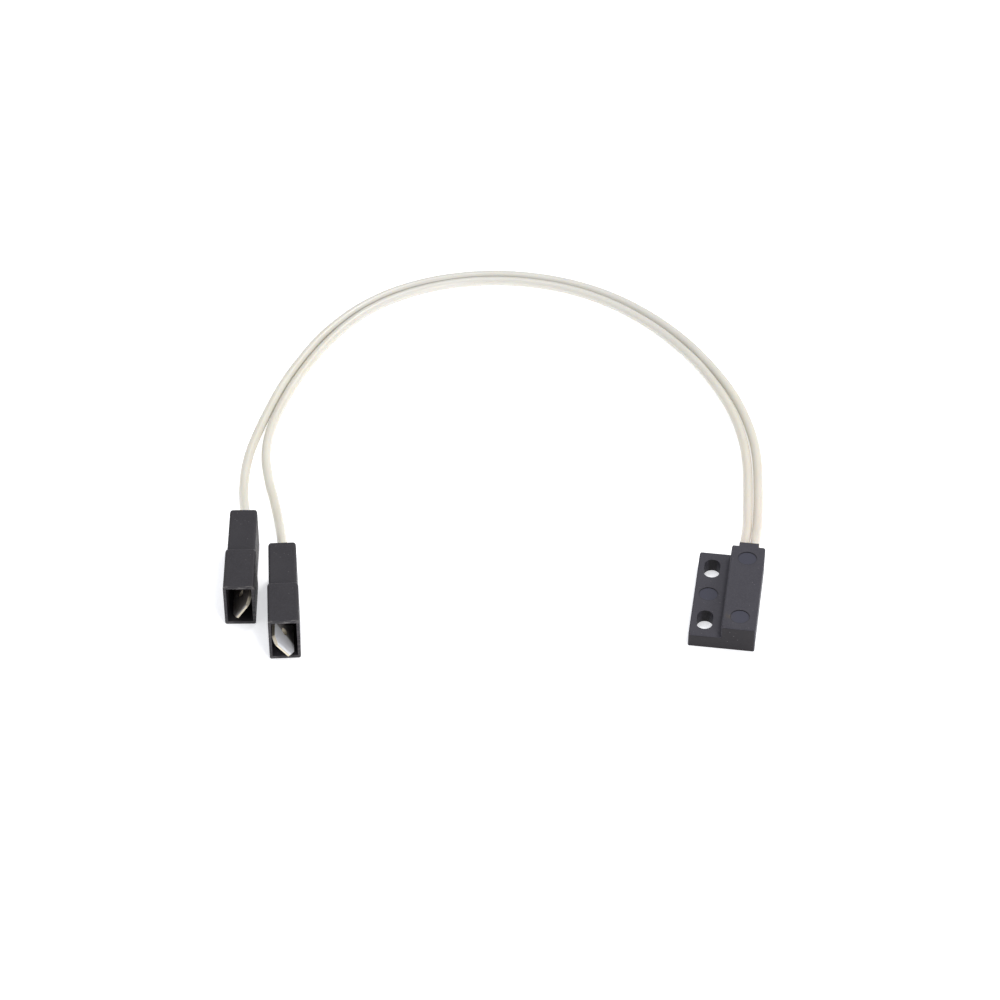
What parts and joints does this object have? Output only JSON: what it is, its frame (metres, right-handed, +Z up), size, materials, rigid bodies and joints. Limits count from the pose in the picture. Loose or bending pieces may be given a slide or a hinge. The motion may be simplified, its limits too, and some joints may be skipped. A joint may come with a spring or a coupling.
{
  "type": "reed sensor",
  "caption": "Flange-mount magnetic reed sensor with slotted screw holes and flying leads that end in flat push-on tabs inside plastic shrouds.",
  "frame": {"origin": "middle of the housing's flat base, on the surface that the sensor is screwed to", "axes": "+Y along the housing towards its lead end, +X from the flange to the raised body, +Z up through the mounting slots"},
  "size_m": [0.1177, 0.137, 0.0107],
  "materials": {
    "housing_plastic": "moulded charcoal plastic, fine satin grain",
    "shroud_plastic": "moulded charcoal nylon, fine matt grain",
    "potting_resin": "cast black resin",
    "reed_glass": "drawn tube, slightly green",
    "reed_metal": "bright nickel-iron wire",
    "solder": "dull solder",
    "lead_insulation": "cream insulation, satin",
    "copper_core": "stranded copper",
    "plated_tab": "tin-plated brass sheet, bare brass at the cut edges"
  },
  "bodies": {
    "root": {"sensor_housing": "housing_plastic", "potting": "potting_resin", "reed_glass": "reed_glass", "reed_front": "reed_metal", "reed_back": "reed_metal", "solder_joint_front": "solder", "solder_joint_back": "solder", "lead_a": "lead_insulation", "lead_b": "lead_insulation", "core_a_sensor_end": "copper_core", "core_b_sensor_end": "copper_core", "core_a_tab_end": "copper_core", "core_b_tab_end": "copper_core", "tab_a": "plated_tab", "tab_b": "plated_tab", "shroud_a": "shroud_plastic", "shroud_b": "shroud_plastic"}
  },
  "joints": []
}
